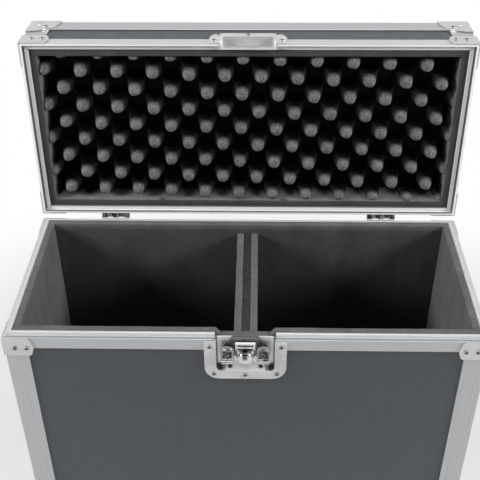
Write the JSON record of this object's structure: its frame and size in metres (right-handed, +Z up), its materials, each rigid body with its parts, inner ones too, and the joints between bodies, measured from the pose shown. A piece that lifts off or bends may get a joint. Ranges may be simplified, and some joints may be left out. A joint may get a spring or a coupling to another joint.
{
  "type": "lighting flight case",
  "caption": "Flight case with its hinged lid open: grey laminate panels in aluminium edging, foam-lined body with a divider, egg-crate foam in the lid, butterfly latch and side handles.",
  "frame": {"origin": "on the ground, under the middle of the bounding box of the whole case with its lid open", "axes": "+X to the right along the case's width, -Y to the front where the latch is, +Z up"},
  "size_m": [0.658, 0.385, 0.6212],
  "materials": {
    "laminate_panel": "dark grey phenolic laminate on plywood, fine matt grain",
    "aluminium_edging": "drawn aluminium, satin, faint length-wise lines",
    "bright_steel": "bright plated steel",
    "chrome_latch": "pressed steel, chrome plated",
    "grey_foam": "charcoal grey foam, matt, fine open cells",
    "foot_rubber": "black moulded rubber, matt",
    "divider_board": "dark stained board edge"
  },
  "bodies": {
    "case": {"body_ball_corner_front_left": "bright_steel", "body_ball_corner_front_right": "bright_steel", "body_ball_corner_rear_left": "bright_steel", "body_ball_corner_rear_right": "bright_steel", "body_base_frame": "aluminium_edging", "body_corner_angle_front_left": "aluminium_edging", "body_corner_angle_front_right": "aluminium_edging", "body_corner_angle_rear_left": "aluminium_edging", "body_corner_angle_rear_right": "aluminium_edging", "body_floor_panel": "laminate_panel", "body_foam_lining": "grey_foam", "body_front_panel": "laminate_panel", "body_left_panel": "laminate_panel", "body_rear_panel": "laminate_panel", "body_right_panel": "laminate_panel", "body_rim_brace_front_left": "bright_steel", "body_rim_brace_front_right": "bright_steel", "body_rim_brace_rear_left": "bright_steel", "body_rim_brace_rear_right": "bright_steel", "body_rim_front_left": "aluminium_edging", "body_rim_front_right": "aluminium_edging", "body_rim_left": "aluminium_edging", "body_rim_rear": "aluminium_edging", "body_rim_right": "aluminium_edging", "divider_board": "divider_board", "divider_foam_left": "grey_foam", "divider_foam_right": "grey_foam", "handle_left_plate": "bright_steel", "handle_right_plate": "bright_steel", "hinge_left_body_leaf": "bright_steel", "hinge_right_body_leaf": "bright_steel", "latch_dish": "chrome_latch", "rubber_foot_front_left": "foot_rubber", "rubber_foot_front_right": "foot_rubber", "rubber_foot_rear_left": "foot_rubber", "rubber_foot_rear_right": "foot_rubber"},
    "lid": {"hinge_left_lid_leaf": "bright_steel", "hinge_right_lid_leaf": "bright_steel", "latch_keeper_dish": "chrome_latch", "lid_ball_corner_front_left": "bright_steel", "lid_ball_corner_front_right": "bright_steel", "lid_ball_corner_rear_left": "bright_steel", "lid_ball_corner_rear_right": "bright_steel", "lid_edge_frame": "aluminium_edging", "lid_egg_crate_foam": "grey_foam", "lid_rim_brace_front_left": "bright_steel", "lid_rim_brace_front_right": "bright_steel", "lid_rim_brace_rear_left": "bright_steel", "lid_rim_brace_rear_right": "bright_steel", "lid_rim_front_left": "aluminium_edging", "lid_rim_front_right": "aluminium_edging", "lid_rim_rear_and_sides": "aluminium_edging", "lid_side_boards": "laminate_panel", "lid_top_panel": "laminate_panel", "lid_wall_foam": "grey_foam"},
    "latch_hub": {"latch_hub": "chrome_latch"},
    "latch_butterfly": {"latch_butterfly": "chrome_latch"},
    "latch_hook": {"latch_hook": "chrome_latch"},
    "handle_left_bail": {"handle_left_bail": "bright_steel"},
    "handle_right_bail": {"handle_right_bail": "bright_steel"}
  },
  "joints": [
    {"name": "lid_hinge", "type": "hinge", "parent": "case", "child": "lid", "pos_m": [0, 0.08591, 0.3492], "axis": [1, 0, 0], "range_deg": [0, 93.5]},
    {"name": "latch_twist", "type": "hinge", "parent": "case", "child": "latch_hub", "pos_m": [0, -0.18489, 0.3195], "axis": [0, -1, 0], "range_deg": [0, 90]},
    {"name": "wing_fold", "type": "hinge", "parent": "latch_hub", "child": "latch_butterfly", "pos_m": [0, -0.18959, 0.3115], "axis": [1, 0, 0], "range_deg": [0, 90]},
    {"name": "hook_slide", "type": "slide", "parent": "case", "child": "latch_hook", "axis": [0, 0, 1], "range_m": [0, 0.014]},
    {"name": "left_handle_swing", "type": "hinge", "parent": "case", "child": "handle_left_bail", "pos_m": [-0.3205, -0.05189, 0.225], "axis": [0, 1, 0], "range_deg": [0, 90]},
    {"name": "right_handle_swing", "type": "hinge", "parent": "case", "child": "handle_right_bail", "pos_m": [0.3205, -0.05189, 0.225], "axis": [0, -1, 0], "range_deg": [0, 90]}
  ],
  "couplings": [
    {"joint": "hook_slide", "follows": "latch_twist", "m_per_rad": 0.0089}
  ]
}
